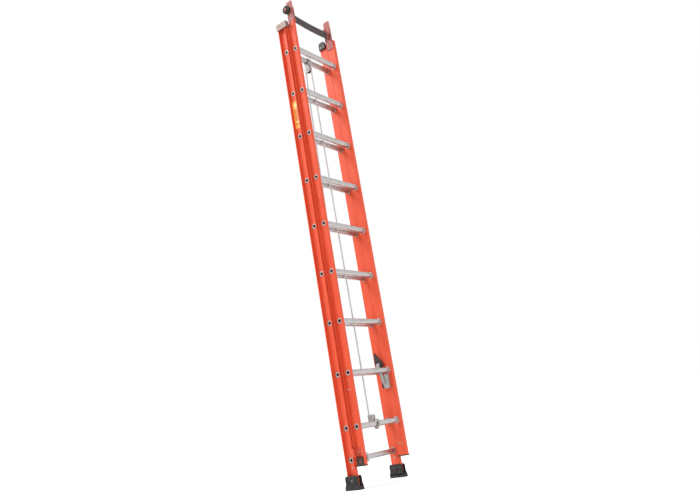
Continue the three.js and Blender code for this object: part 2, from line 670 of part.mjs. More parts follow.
// ---- Fly: rung locks beside the second rung ----
{
  const z = FIRST_SHARED_RUNG_Z + PITCH;
  const PIVOT_Y = -42;
  const PIVOT_Z = z - 66;
  const PIN_R = 5;
  const EYE_R = 12; // of the hook, round the pin
  const PIN_HEAD_R = 9;
  const PIN_HEAD = 4;
  const HOOK_X0 = 163;
  const HOOK_X1 = 171;
  const FLIPPER_X0 = 171.8;
  const FLIPPER_X1 = 178;
  const FLIPPER_Y = -24;
  const FLIPPER_Z = z + 38;
  const STUB_R = 4.5; // the flipper's pivot, part of the hook
  const bodyX = FLY_WEB_X - GAP;
  const allX = [HOOK_X0 - OVERCUT, bodyX + OVERCUT];

  const front = FLY_Y - 2;
  const body = corner([
    [front, z - 108],
    [FLY_Y + 30, z - 108],
    [PIVOT_Y + EYE_R, PIVOT_Z - EYE_R],
    [PIVOT_Y + EYE_R, PIVOT_Z + 10],
    [PIVOT_Y - 8, z - 24],
    [front, z - 24],
  ]);
  const pinHole = barX(PIN_R + GAP, ...allX, PIVOT_Y, PIVOT_Z, 12);
  addPair(fly, "lock_body", "zinc", carve([pushed(body, HOOK_X1 + 1, bodyX)], [pinHole]));

  // The hook's stem stands close to the base rung, so that it can swing clear before it meets the fly's.
  const NOSE_TIP_Y = 0;
  const STEM_REAR_Y = -32;
  const TOP_Z = z + 48;
  const stemFront = -RUNG_HALF_WIDTH - 2.5;
  const noseUnder = z + RUNG_TREAD_Z + 1.5;
  const hook = new THREE.Shape();
  hook.absarc(PIVOT_Y, PIVOT_Z, EYE_R, Math.PI, 2 * Math.PI, false);
  hook.lineTo(stemFront - 4, z - 20);
  hook.lineTo(stemFront, z);
  hook.lineTo(stemFront, noseUnder);
  hook.lineTo(NOSE_TIP_Y, noseUnder);
  hook.lineTo(NOSE_TIP_Y, noseUnder + 11);
  hook.lineTo(-14, TOP_Z);
  hook.lineTo(STEM_REAR_Y, TOP_Z);
  hook.lineTo(STEM_REAR_Y, z + 18);
  hook.lineTo(STEM_REAR_Y - 8, z - 18);
  hook.lineTo(PIVOT_Y - EYE_R, PIVOT_Z);
  const stub = barX(STUB_R, HOOK_X1 - 2, FLIPPER_X1 + 2, FLIPPER_Y, FLIPPER_Z, 10);
  const pinRoom = barX(PIN_R + RUN, ...allX, PIVOT_Y, PIVOT_Z, 12);
  addPair(fly, "lock_hook", "zinc", carve([pushed(hook, HOOK_X0, HOOK_X1, 6), stub], [pinRoom]));

  // The flipper's rear corner is cut back, so that it turns without meeting the tread below it.
  const FLIPPER_BELOW = 17;
  const FLIPPER_ABOVE = 76;
  const FLIPPER_FRONT = 30;
  const FLIPPER_REAR = -29;
  const flipper = corner([
    [FLIPPER_REAR, -4],
    [FLIPPER_REAR / 2, -FLIPPER_BELOW],
    [FLIPPER_FRONT - 1, -FLIPPER_BELOW],
    [FLIPPER_FRONT, 22],
    [FLIPPER_FRONT - 4, FLIPPER_ABOVE],
    [FLIPPER_FRONT - 12, FLIPPER_ABOVE],
    [FLIPPER_REAR, 4],
  ]);
  const flipperPlate = pushed(flipper, FLIPPER_X0, FLIPPER_X1).translate(0, FLIPPER_Y, FLIPPER_Z);
  const stubRoom = barX(STUB_R + RUN, ...allX, FLIPPER_Y, FLIPPER_Z, 12);
  addPair(fly, "lock_flipper", "plastic", carve([flipperPlate], [stubRoom]));

  const pinProfile = [
    [0, HOOK_X0 - 1 - PIN_HEAD],
    [PIN_HEAD_R, HOOK_X0 - 1 - PIN_HEAD],
    [PIN_HEAD_R, HOOK_X0 - 1],
    [PIN_R, HOOK_X0 - 1],
    [PIN_R, bodyX - 2],
    [0, bodyX - 2],
  ];
  addPair(fly, "lock_pin", "zinc", turnedX(pinProfile, 0, PIVOT_Y, PIVOT_Z, 12));
}

// The ground point under the middle of the footprint is the origin.
const bounds = new THREE.Box3().setFromObject(ladder);
ladder.position.set(0, -(bounds.min.y + bounds.max.y) / 2, -bounds.min.z);

export default ladder;
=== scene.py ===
"""Looks of a two-section fibreglass extension ladder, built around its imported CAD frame.

Metres. +Z runs up the rails, +X from the left rail to the right one, and -Y from the base section
to the fly section and the climber. Places come from the CAD nodes' boxes.
"""

import json
import math

import bmesh
import bpy
from mathutils import Matrix, Vector


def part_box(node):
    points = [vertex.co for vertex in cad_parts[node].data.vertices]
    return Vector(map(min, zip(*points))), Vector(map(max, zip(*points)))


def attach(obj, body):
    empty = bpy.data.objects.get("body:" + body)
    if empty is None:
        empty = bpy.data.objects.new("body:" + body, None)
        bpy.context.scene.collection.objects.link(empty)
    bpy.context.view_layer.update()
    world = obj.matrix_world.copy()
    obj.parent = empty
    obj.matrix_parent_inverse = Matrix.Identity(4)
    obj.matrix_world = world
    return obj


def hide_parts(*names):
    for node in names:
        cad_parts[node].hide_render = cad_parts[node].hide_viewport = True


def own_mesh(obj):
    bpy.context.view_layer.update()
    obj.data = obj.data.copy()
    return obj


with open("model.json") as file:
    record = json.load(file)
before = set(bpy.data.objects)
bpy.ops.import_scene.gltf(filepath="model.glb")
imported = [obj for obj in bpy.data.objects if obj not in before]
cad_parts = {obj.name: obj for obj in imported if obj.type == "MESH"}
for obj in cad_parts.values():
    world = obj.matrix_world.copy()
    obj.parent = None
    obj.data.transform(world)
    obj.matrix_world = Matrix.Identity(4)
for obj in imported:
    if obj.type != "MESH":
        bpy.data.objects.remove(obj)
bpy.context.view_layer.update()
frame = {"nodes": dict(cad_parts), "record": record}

RECORD = frame["record"]
BODY_OF = {node: body for body, nodes in RECORD["behaviour"]["bodies"].items() for node in nodes}
SLOT_OF = {part["node"]: part["material_slot"] for part in RECORD["subparts"]}
SECTIONS = ("base", "fly")
SIDES = (("left", -1), ("right", 1))
MM = 0.001


# ---- Camera, lights and floor ----

CAMERA_PLACE = (-3.176, -2.441, 0.343)
CAMERA_AZIMUTH, CAMERA_ELEVATION, CAMERA_ROLL = -53.13, -14.63, -9.69  # degrees
CAMERA_LENS = 34.15

# Each light's place, the diameter of its disc and its power in watts. All face LIGHTS_AIM.
LIGHTS = {
    "key": ((-5.7, 5.4, 9.15), 5.4, 790),
    "fill": ((-1.5, -5.5, 2.5), 3.0, 25),
    "rim": ((4.5, 1.5, 4.0), 3.0, 60),
}
LIGHTS_AIM = (0, 0, 1.5)
FLOOR_HALF = 30


def make_camera():
    """A low camera on the left, in front, turned a little so that the ladder's top leans left."""
    azimuth, elevation = math.radians(CAMERA_AZIMUTH), math.radians(CAMERA_ELEVATION)
    level = math.cos(elevation)
    back = Vector((math.sin(azimuth) * level, -math.cos(azimuth) * level, math.sin(elevation)))
    camera = bpy.data.objects.new("camera", bpy.data.cameras.new("camera"))
    bpy.context.scene.collection.objects.link(camera)
    camera.data.lens = CAMERA_LENS
    camera.data.clip_end = 200
    camera.location = CAMERA_PLACE
    camera.rotation_mode = "QUATERNION"
    aim = (-back).to_track_quat("-Z", "Y")
    roll = Matrix.Rotation(math.radians(CAMERA_ROLL), 3, "Z")
    camera.rotation_quaternion = aim @ roll.to_quaternion()
    bpy.context.scene.camera = camera


def add_area_light(name, place, size, power):
    light = bpy.data.objects.new(name, bpy.data.lights.new(name, "AREA"))
    light.data.shape = "DISK"
    light.data.size = size
    light.data.energy = power
    light.location = place
    light.rotation_mode = "QUATERNION"
    light.rotation_quaternion = (Vector(LIGHTS_AIM) - Vector(place)).to_track_quat("-Z", "Y")
    bpy.context.scene.collection.objects.link(light)


def make_studio():
    scene = bpy.context.scene
    scene.view_settings.view_transform = "Standard"
    scene.world = bpy.data.worlds.new("studio")
    scene.world.use_nodes = True
    sky = scene.world.node_tree.nodes["Background"]
    sky.inputs["Color"].default_value = (1, 1, 1, 1)
    sky.inputs["Strength"].default_value = 1.0
    for name, (place, size, power) in LIGHTS.items():
        add_area_light(name, place, size, power)

    floor = bpy.data.objects.new("floor", bpy.data.meshes.new("floor"))
    corners = [(x * FLOOR_HALF, y * FLOOR_HALF, 0) for x, y in ((-1, -1), (1, -1), (1, 1), (-1, 1))]
    floor.data.from_pydata(corners, [], [(0, 1, 2, 3)])
    floor.data.materials.append(floor_material())
    scene.collection.objects.link(floor)


# ---- Materials ----


class Shader:
    """A Principled material under construction, with short calls that add and link its nodes."""

    def __init__(self, name, **constants):
        self.material = bpy.data.materials.new(name)
        self.material.use_nodes = True
        self.tree = self.material.node_tree
        self.surface = self.tree.nodes["Principled BSDF"]
        self.place = self.tree.nodes.new("ShaderNodeTexCoord").outputs["Object"]
        for socket, value in constants.items():
            self.surface.inputs[socket.replace("_", " ")].default_value = value

    def node(self, kind, settings=(), **inputs):
        made = self.tree.nodes.new(kind)
        for name, value in dict(settings).items():
            setattr(made, name, value)
        for name, value in inputs.items():
            socket = made.inputs[name]
            if isinstance(value, bpy.types.NodeSocket):
                self.tree.links.new(value, socket)
            else:
                socket.default_value = value
        return made

    def noise(self, scale, detail=3.0, stretch=(1, 1, 1), roughness=0.55):
        mapped = self.node("ShaderNodeMapping", Vector=self.place, Scale=stretch).outputs[0]
        made = self.node(
            "ShaderNodeTexNoise", Vector=mapped, Scale=scale, Detail=detail, Roughness=roughness
        )
        return made.outputs["Fac"]

    def cells(self, scale):
        return self.node("ShaderNodeTexVoronoi", Vector=self.place, Scale=scale).outputs["Color"]

    def distance_across(self):
        """How far the surface is from the ladder's middle plane, X = 0."""
        across = self.node("ShaderNodeSeparateXYZ", Vector=self.place).outputs["X"]
        return self.node("ShaderNodeMath", {"operation": "ABSOLUTE"}, Value=across).outputs[0]

    def add(self, first, second):
        made = self.node("ShaderNodeMath", {"operation": "ADD"})
        self.tree.links.new(first, made.inputs[0])
        self.tree.links.new(second, made.inputs[1])
        return made.outputs[0]

    def ramp(self, factor, low, high, start=0.3, end=0.7):
        """A colour from low to high as factor goes from start to end."""
        made = self.node("ShaderNodeValToRGB", Fac=factor)
        stops = made.color_ramp.elements
        stops[0].position, stops[0].color = start, (*low, 1)
        stops[1].position, stops[1].color = end, (*high, 1)
        return made.outputs["Color"]

    def spread(self, factor, low, high, start=0.3, end=0.7):
        """A number from low to high as factor goes from start to end."""
        made = self.node("ShaderNodeMapRange", Value=factor)
        for name, value in zip(("From Min", "From Max", "To Min", "To Max"), (start, end, low, high)):
            made.inputs[name].default_value = value
        return made.outputs["Result"]

    def mix(self, factor, first, second):
        """Goes from the first colour to the second as factor goes from 0 to 1."""
        made = self.tree.nodes.new("ShaderNodeMix")
        made.data_type = "RGBA"
        factor_socket, first_socket, second_socket = (made.inputs[i] for i in (0, 6, 7))
        for socket, value in ((factor_socket, factor), (first_socket, first), (second_socket, second)):
            if isinstance(value, bpy.types.NodeSocket):
                self.tree.links.new(value, socket)
            else:
                socket.default_value = (*value, 1)
        return made.outputs[2]

    def set(self, name, output):
        self.tree.links.new(output, self.surface.inputs[name])

    def bump(self, height, strength, distance, under=None):
        """Roughens the surface, on top of the relief that is handed in as under."""
        made = self.node("ShaderNodeBump", Height=height, Strength=strength, Distance=distance)
        if under is not None:
            self.tree.links.new(under, made.inputs["Normal"])
        self.set("Normal", made.outputs["Normal"])
        return made.outputs["Normal"]


def floor_material():
    """A pale matt floor that glows a little, so that it meets the white world without a horizon."""
    glow = {"Emission_Color": (1, 1, 1, 1), "Emission_Strength": 0.09}
    shader = Shader("floor", Roughness=0.95, Specular_IOR_Level=0.0, **glow)
    shader.set("Base Color", shader.ramp(shader.noise(1.2), (0.90, 0.90, 0.90), (0.93, 0.93, 0.93)))
    return shader.material


def fibreglass():
    """Pultruded glass and resin: long streaks and fibres up the rail, soft blotches and pale scuffs."""
    shader = Shader("fibreglass", Specular_IOR_Level=0.3)
    streaks = shader.noise(1.0, 5, (90, 90, 1.6))
    colour = shader.ramp(streaks, (0.63, 0.056, 0.014), (0.72, 0.086, 0.033))
    fibres = shader.noise(1.0, 2, (1500, 1500, 14))
    colour = shader.mix(shader.spread(fibres, 0.0, 0.3), colour, (0.80, 0.17, 0.09))
    blotches = shader.noise(7.0, 4)
    colour = shader.mix(shader.spread(blotches, 0.0, 0.35), colour, (0.55, 0.040, 0.010))
    scuffs = shader.noise(1.0, 6, (60, 60, 16), 0.7)
    colour = shader.mix(shader.spread(scuffs, 0.0, 0.35, 0.60, 0.74), colour, (0.82, 0.36, 0.25))
    shader.set("Base Color", colour)
    shader.set("Roughness", shader.spread(streaks, 0.46, 0.6))
    under = shader.bump(fibres, 0.25, 0.0003)
    shader.bump(shader.noise(1.0, 3, (260, 260, 6)), 0.2, 0.0006, under)
    return shader.material


def rung_aluminium():
    """Mill-finish extrusion: die lines along the rung and dull patches. The ends are rougher and painted
    darker, a painted shade that tones down their reflection of the key light.
    """
    shader = Shader("rung_aluminium", Metallic=1.0)
    patches = shader.noise(28.0, 4)
    colour = shader.ramp(patches, (0.46, 0.455, 0.45), (0.58, 0.575, 0.565))
    lines = shader.noise(1.0, 3, (8, 900, 900))
    colour = shader.mix(shader.spread(lines, 0.0, 0.3), colour, (0.36, 0.355, 0.35))
    across = shader.distance_across()
    ends_from, ends_to = 194.4 * MM, 194.8 * MM  # at the outer faces of the fly's webs
    # Painted shade: the rung ends turn darker, which tones down their reflection of the key light.
    shaded_ends = shader.spread(across, 0.0, 0.75, ends_from, ends_to)
    shader.set("Base Color", shader.mix(shaded_ends, colour, (0.33, 0.29, 0.27)))
    extra_roughness = shader.spread(across, 0.0, 0.1875, ends_from, ends_to)
    shader.set("Roughness", shader.add(shader.spread(patches, 0.3, 0.46), extra_roughness))
    shader.bump(lines, 0.3, 0.0002)
    return shader.material


def zinc(name, light, dark):
    """Dull plated sheet: a fine crystal pattern, small scratches and a cloudy tone."""
    shader = Shader(name, Metallic=0.45)
    colour = shader.mix(shader.cells(420.0), dark, light)
    clouds = shader.noise(45.0, 4)
    shader.set("Base Color", shader.mix(shader.spread(clouds, 0.0, 0.45), colour, dark))
    shader.set("Roughness", shader.spread(clouds, 0.56, 0.7))
    shader.bump(shader.noise(1.0, 3, (1400, 300, 220)), 0.25, 0.0002)
    return shader.material


def bracket_metal():
    """Painted steel plate: an even pinkish tone with an orange-peel skin and rubbed spots."""
    shader = Shader("bracket_metal", Specular_IOR_Level=0.35)
    clouds = shader.noise(22.0, 4)
    colour = shader.ramp(clouds, (0.30, 0.075, 0.068), (0.38, 0.115, 0.10))
    rubbed = shader.noise(130.0, 5, roughness=0.7)
    colour = shader.mix(shader.spread(rubbed, 0.0, 0.3, 0.60, 0.70), colour, (0.42, 0.25, 0.23))
    shader.set("Base Color", colour)
    shader.set("Roughness", shader.spread(clouds, 0.55, 0.7))
    shader.bump(shader.noise(900.0, 2), 0.15, 0.0002)
    return shader.material


def painted_metal():
    """Orange powder coat with a fine orange peel, rubbed paler in places."""
    shader = Shader("painted_metal", Coat_Weight=0.2, Coat_Roughness=0.2)
    clouds = shader.noise(30.0, 4)
    colour = shader.ramp(clouds, (0.50, 0.045, 0.014), (0.62, 0.075, 0.028))
    rubbed = shader.noise(160.0, 5, roughness=0.7)
    colour = shader.mix(shader.spread(rubbed, 0.0, 0.4, 0.60, 0.70), colour, (0.66, 0.30, 0.22))
    shader.set("Base Color", colour)
    shader.set("Roughness", shader.spread(clouds, 0.36, 0.5))
    shader.bump(shader.noise(800.0, 2), 0.15, 0.0002)
    return shader.material


def black(name, colour, grain, roughness, dust):
    """Rubber or moulded plastic: a fine grain, uneven sheen and some pale dust."""
    shader = Shader(name, Specular_IOR_Level=0.3)
    clouds = shader.noise(35.0, 5, roughness=0.65)
    lighter = tuple(c * 1.7 + 0.004 for c in colour)
    tone = shader.ramp(clouds, colour, lighter)
    dusty = shader.spread(shader.noise(75.0, 6, roughness=0.75), 0.0, dust, 0.45, 0.72)
    shader.set("Base Color", shader.mix(dusty, tone, (0.24, 0.225, 0.205)))
    shader.set("Roughness", shader.spread(clouds, roughness - 0.08, roughness + 0.1))
    shader.bump(shader.noise(grain, 3), 0.3, 0.0003)
    return shader.material


def rope_fibre():
    """Laid polyester: fine fibres along the rope and a little grime in the hollows."""
    shader = Shader("rope", Roughness=0.9, Sheen_Weight=0.25)
    fibres = shader.noise(1.0, 4, (2200, 2200, 260))
    colour = shader.ramp(fibres, (0.44, 0.44, 0.45), (0.66, 0.66, 0.66))
    grime = shader.noise(16.0, 4)
    colour = shader.mix(shader.spread(grime, 0.0, 0.35, 0.5, 0.75), colour, (0.27, 0.26, 0.24))
    shader.set("Base Color", colour)
    shader.bump(fibres, 0.5, 0.0004)
    return shader.material


def vinyl(name, light, dark):
    """A printed vinyl patch with a faded, faintly mottled colour."""
    shader = Shader(name)
    fade = shader.noise(30.0, 4)
    shader.set("Base Color", shader.ramp(fade, dark, light))
    shader.set("Roughness", shader.spread(fade, 0.45, 0.6))
    shader.bump(shader.noise(500.0, 2), 0.08, 0.0002)
    return shader.material


MATERIALS = {
    "fibreglass": fibreglass(),
    "rung_aluminium": rung_aluminium(),
    "zinc_metal": zinc("zinc_metal", (0.50, 0.50, 0.50), (0.33, 0.325, 0.32)),
    "painted_metal": painted_metal(),
    "bracket_metal": bracket_metal(),
    "rubber": black("rubber", (0.013, 0.012, 0.011), 900.0, 0.7, dust=0.22),
    "black_plastic": black("black_plastic", (0.018, 0.016, 0.016), 1400.0, 0.5, dust=0.12),
    "strap_rubber": black("strap_rubber", (0.045, 0.032, 0.034), 700.0, 0.72, dust=0.25),
    "rope": rope_fibre(),
    "sticker": vinyl("sticker", (0.93, 0.42, 0.06), (0.86, 0.33, 0.035)),
}
# Zinc for the top guides, tinted pink and darkened: the pink is a painted reflection of the orange rails,
# and the darker tone is painted shade that keeps the key light's highlight from washing the plate out.
GUIDE_REFLECTION_TINT = zinc("guide_reflection_tint", (0.33, 0.25, 0.225), (0.23, 0.165, 0.145))
CAP_BROWN = black("cap_brown", (0.09, 0.035, 0.022), 1400.0, 0.5, dust=0.15)
STICKER_DARK = vinyl("sticker_dark", (0.62, 0.20, 0.03), (0.52, 0.15, 0.02))
STICKER_PALE = vinyl("sticker_pale", (0.95, 0.66, 0.25), (0.90, 0.58, 0.18))


# ---- Mesh helpers ----


def apply_modifiers(piece):
    evaluated = piece.evaluated_get(bpy.context.evaluated_depsgraph_get())
    final = bpy.data.meshes.new_from_object(evaluated)
    piece.modifiers.clear()
    piece.data = final


def add_bevel(piece, width, segments=2, angle=32):
    bevel = piece.modifiers.new("edges", "BEVEL")
    bevel.width = width
    bevel.segments = segments
    bevel.limit_method = "ANGLE"
    bevel.angle_limit = math.radians(angle)
    bevel.miter_outer = "MITER_ARC"


def finish_piece(piece, body, slot, material=None, stands_for=(), smooth_angle=38):
    """Smooths a piece, gives it its finish and makes it ride on its body."""
    piece.data.materials.clear()
    piece.data.materials.append(material or MATERIALS[slot])
    piece.data.shade_smooth()
    piece.data.set_sharp_from_angle(angle=math.radians(smooth_angle))
    weighted = piece.modifiers.new("normals", "WEIGHTED_NORMAL")
    weighted.keep_sharp = True
    weighted.weight = 90
    apply_modifiers(piece)
    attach(piece, body)
    if stands_for:
        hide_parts(*stands_for)


def piece_from(bm, name, bevel=0.0, segments=2):
    """A new object from a bmesh, with its faces turned out and, if asked, its edges rounded."""
    bmesh.ops.recalc_face_normals(bm, faces=bm.faces)
    mesh = bpy.data.meshes.new(name)
    bm.to_mesh(mesh)
    bm.free()
    piece = bpy.data.objects.new(name, mesh)
    bpy.context.scene.collection.objects.link(piece)
    if bevel:
        add_bevel(piece, bevel, segments)
    return piece


def soften(node, bevel, material=None):
    """A copy of a CAD node with clean faces and rounded edges, which stands for the node."""
    bm = bmesh.new()
    bm.from_mesh(frame["nodes"][node].data)
    bmesh.ops.remove_doubles(bm, verts=bm.verts, dist=0.02 * MM)
    bmesh.ops.dissolve_limit(bm, angle_limit=math.radians(2), verts=bm.verts, edges=bm.edges)
    piece = piece_from(bm, f"{node}_body", bevel, 3)
    finish_piece(piece, BODY_OF[node], SLOT_OF[node], material, stands_for=[node])


def in_mm(points):
    """The same pairs, read as millimetres."""
    return [(a * MM, b * MM) for a, b in points]


def reach_of(node):
    """The least and greatest distance of a side piece from the ladder's middle plane, X = 0."""
    low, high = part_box(node)
    return sorted((abs(low.x), abs(high.x)))


def along_x(x, y, z, sign=1):
    """Puts a turned shape's own Z axis along X, or along -X."""
    return Matrix.Translation((x, y, z)) @ Matrix.Rotation(math.radians(90 * sign), 4, "Y")


def along_y(x, y, z, sign=1):
    """Puts a turned shape's own Z axis along Y, or along -Y."""
    return Matrix.Translation((x, y, z)) @ Matrix.Rotation(math.radians(-90 * sign), 4, "X")


def add_turned(bm, profile, place, segments=40, closed=False):
    """Turns a profile of (radius, height) about the shape's Z axis."""
    rings = []
    for radius, height in profile:
        if radius < 1e-7:
            rings.append([bm.verts.new(place @ Vector((0, 0, height)))])
            continue
        turns = [2 * math.pi * i / segments for i in range(segments)]
        ring = [(radius * math.cos(a), radius * math.sin(a), height) for a in turns]
        rings.append([bm.verts.new(place @ Vector(corner)) for corner in ring])
    pairs = list(zip(rings, rings[1:]))
    if closed:
        pairs.append((rings[-1], rings[0]))
    for low, high in pairs:
        for i in range(segments):
            j = (i + 1) % segments
            corners = [low[i % len(low)], low[j % len(low)], high[j % len(high)], high[i % len(high)]]
            distinct = list(dict.fromkeys(corners))
            if len(distinct) > 2:
                bm.faces.new(distinct)


def add_prism(bm, outline, axis, low, high):
    """Pushes an outline along an axis: (y, z) points along X, or (x, y) points along Z."""
    rings = []
    for level in (low, high):
        corners = [(level, a, b) if axis == "X" else (a, b, level) for a, b in outline]
        rings.append([bm.verts.new(corner) for corner in corners])
    join_rings(bm, rings)


def join_rings(bm, rings):
    """Skins a row of rings with the same count of corners, and closes both ends."""
    for a, b in zip(rings, rings[1:]):
        for i in range(len(a)):
            j = (i + 1) % len(a)
            bm.faces.new((a[i], a[j], b[j], b[i]))
    bm.faces.new(rings[0][::-1])
    bm.faces.new(rings[-1])


def arc(centre, radius, start, end, steps):
    """Points on an arc, angles in degrees."""
    turns = [math.radians(start + (end - start) * i / steps) for i in range(steps + 1)]
    return [(centre[0] + radius * math.cos(a), centre[1] + radius * math.sin(a)) for a in turns]


def rounded_box(low, high, radius, steps=4):
    """The outline of a rectangle with round corners, counter-clockwise."""
    x0, y0, x1, y1 = low[0] + radius, low[1] + radius, high[0] - radius, high[1] - radius
    corners = (((x1, y1), 0), ((x0, y1), 90), ((x0, y0), 180), ((x1, y0), 270))
    return [p for centre, start in corners for p in arc(centre, radius, start, start + 90, steps)]


def add_rivet(bm, place, radius):
    """A domed rivet head that stands on the shape's XY plane."""
    dome = [(radius * math.cos(a), 0.45 * radius * math.sin(a)) for a in (0, 0.35, 0.7, 1.05, 1.35)]
    add_turned(bm, [(0, -1 * MM), (radius, -1 * MM), *dome, (0, 0.45 * radius)], place, 24)


def add_hex_head(bm, place, radius):
    """A washer with a chamfered hexagon head on it, and the end of the shank above that."""
    washer, rim, top = 1.45 * radius, 1.2 * MM, 4.5 * MM
    add_turned(bm, [(0, 0), (washer, 0), (washer, rim), (0, rim)], place, 28)
    head = [(0, rim / 2), (radius, rim / 2), (radius, top - 0.8 * MM), (0.86 * radius, top), (0, top)]
    add_turned(bm, head, place, 6)
    start, end = top - 1 * MM, top + 0.9 * MM
    add_turned(bm, [(0, start), (0.6 * radius, start), (0.55 * radius, end), (0, end)], place, 16)


def through_plate(add_head, inner, outer, y, z, sign, radius):
    """The two heads of a fastener that goes through a plate along X, from inner to outer."""
    inward = (add_head, along_x(inner, y, z, -sign), radius)
    outward = (add_head, along_x(outer, y, z, sign), radius)
    return [inward, outward]


def fasteners(name, body, heads):
    """One piece with every head of a group: its kind, place and radius each."""
    bm = bmesh.new()
    for add_head, place, radius in heads:
        add_head(bm, place, radius)
    finish_piece(piece_from(bm, name), body, "zinc_metal", smooth_angle=30)


# ---- Side rails ----

WEB = 4.5 * MM
FLANGE = 5 * MM
RUNG_HOLE_R = 14 * MM


def rail_section(inner, tip, front, rear):
    """Outline of a channel whose open side is at +X, with filleted corners and round flange tips."""
    corner_r, fillet_r, tip_r = 3 * MM, 4 * MM, 1.9 * MM
    web = inner + WEB
    return [
        *arc((inner + corner_r, front + corner_r), corner_r, 180, 270, 5),
        *arc((tip - tip_r, front + tip_r), tip_r, 270, 360, 4),
        *arc((tip - tip_r, front + FLANGE - tip_r), tip_r, 0, 90, 4),
        *arc((web + fillet_r, front + FLANGE + fillet_r), fillet_r, 270, 180, 5),
        *arc((web + fillet_r, rear - FLANGE - fillet_r), fillet_r, 180, 90, 5),
        *arc((tip - tip_r, rear - FLANGE + tip_r), tip_r, 270, 360, 4),
        *arc((tip - tip_r, rear - tip_r), tip_r, 0, 90, 4),
        *arc((inner + corner_r, rear - corner_r), corner_r, 90, 180, 5),
    ]


def rung_nodes(section):
    return sorted(node for node in frame["nodes"] if node.startswith(f"{section}_rung"))


def rung_height(node):
    """The height of a rung's axis."""
    low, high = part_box(node)
    return (low.z + high.z) / 2


def make_rail(section, side, sign):
    node = f"{section}_rail_{side}"
    low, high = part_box(node)
    inner, tip = reach_of(node)
    bm = bmesh.new()
    outline = [(sign * x, y) for x, y in rail_section(inner, tip, low.y, high.y)]
    add_prism(bm, outline, "Z", low.z, high.z)
    rail = piece_from(bm, f"{section}_channel_{side}")

    drills = bmesh.new()
    middle = (low.y + high.y) / 2
    drill = [(0, -WEB), (RUNG_HOLE_R, -WEB), (RUNG_HOLE_R, 3 * WEB), (0, 3 * WEB)]
    for rung in rung_nodes(section):
        add_turned(drills, drill, along_x(sign * inner, middle, rung_height(rung), sign), 24)
    cutter = piece_from(drills, "cutter")
    cut = rail.modifiers.new("holes", "BOOLEAN")
    cut.object = cutter
    cut.solver = "EXACT"
    apply_modifiers(rail)
    bpy.data.objects.remove(cutter)
    add_bevel(rail, 0.5 * MM, 2, 60)
    finish_piece(rail, section, "fibreglass", stands_for=[node], smooth_angle=40)


def make_rails():
    for section in SECTIONS:
        for side, sign in SIDES:
            make_rail(section, side, sign)


# ---- Rungs ----

RUNG_HALF = 17 * MM
RUNG_TREAD = 14 * MM
BORE = 11.5 * MM
# (radius, height) in millimetres: a bead on the web's inner face and a lip rolled over its outer face.
BEAD = ((15, 0.3), (20.2, 0.3), (21, 1.1), (21, 2.9), (20, 4.6), (18.6, 5.2), (15, 5.2))
LIP = (
    (8.2, -4.3), (13.6, -4.3), (13.6, 0.1), (16.2, 0.1), (17.0, 0.9), (16.6, 2.2),
    (15.0, 3.1), (13.2, 3.4), (10.8, 2.9), (8.8, 1.6), (8.2, 0.0),
)


def rung_outline():
    """A round belly under a tread with grip ridges, as (y, z) points going round once."""
    bevel, depth = 3.2 * MM, 1.3 * MM
    ridges = 6
    pitch = 2 * (RUNG_HALF - bevel) / (ridges - 0.45)
    points = [(RUNG_HALF, 0), (RUNG_HALF, RUNG_TREAD - bevel)]
    for ridge in range(ridges):
        y = RUNG_HALF - bevel - ridge * pitch
        points += [(y, RUNG_TREAD), (y - 0.55 * pitch, RUNG_TREAD)]
        if ridge < ridges - 1:
            points += [(y - 0.65 * pitch, RUNG_TREAD - depth), (y - 0.9 * pitch, RUNG_TREAD - depth)]
    points += [(-RUNG_HALF, RUNG_TREAD - bevel)]
    return points + arc((0, 0), RUNG_HALF, 180, 360, 24)[:-1]


def rung_mesh(name, web_inner):
    """The tube, a swaged bead against each web's inner face and a rolled lip through the web."""
    bm = bmesh.new()
    outline = rung_outline()
    end = web_inner + 0.5 * MM
    rings = []
    for x in (-end, end):
        outer = [bm.verts.new((x, y, z)) for y, z in outline]
        turns = [math.atan2(z, y) for y, z in outline]
        bore = [bm.verts.new((x, BORE * math.cos(a), BORE * math.sin(a))) for a in turns]
        rings.append((outer, bore))
    (outer0, bore0), (outer1, bore1) = rings
    for i in range(len(outline)):
        j = (i + 1) % len(outline)
        bm.faces.new((outer0[i], outer0[j], outer1[j], outer1[i]))
        bm.faces.new((bore0[j], bore0[i], bore1[i], bore1[j]))
        bm.faces.new((outer0[j], outer0[i], bore0[i], bore0[j]))
        bm.faces.new((outer1[i], outer1[j], bore1[j], bore1[i]))

    for sign in (-1, 1):
        inward = along_x(sign * web_inner, 0, 0, -sign)
        outward = along_x(sign * (web_inner + WEB), 0, 0, sign)
        add_turned(bm, in_mm(BEAD), inward, 40, closed=True)
        add_turned(bm, in_mm(LIP), outward, 40, closed=True)
    return piece_from(bm, name)


def make_rungs():
    for section in SECTIONS:
        rail_low, rail_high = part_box(f"{section}_rail_right")
        y = (rail_low.y + rail_high.y) / 2
        for node in rung_nodes(section):
            piece = rung_mesh(f"{node}_tube", rail_low.x)
            piece.data.transform(Matrix.Translation((0, y, rung_height(node))))
            finish_piece(piece, section, "rung_aluminium", stands_for=[node], smooth_angle=30)


# ---- Boots ----

SOLE_BARS = 7
SOLE_GROOVE = 5 * MM  # both the width and the depth
SOLE_EDGE = 20 * MM  # height of the sole's upright sides
CHEEK = 5.5 * MM
CHEEK_HALF_TOP = 47 * MM
RIB_STANDS = 2.2 * MM  # how far the ribs stand off the outer cheek


def sole_outline(half, top):
    """The grooved sole seen from the side, as (y, z) points about its middle."""
    pitch = 2 * half / SOLE_BARS
    points = []
    for bar in range(SOLE_BARS):
        first, last = bar == 0, bar == SOLE_BARS - 1
        y = -half + bar * pitch
        start = y if first else y + SOLE_GROOVE / 2
        end = half if last else y + pitch - SOLE_GROOVE / 2
        points += [(start, 0), (end, 0)]
        if not last:
            points += [(end, SOLE_GROOVE), (end + SOLE_GROOVE, SOLE_GROOVE)]
    lean = half - 3 * MM
    return points + [(half, SOLE_EDGE), (lean, top), (-lean, top), (-half, SOLE_EDGE)]


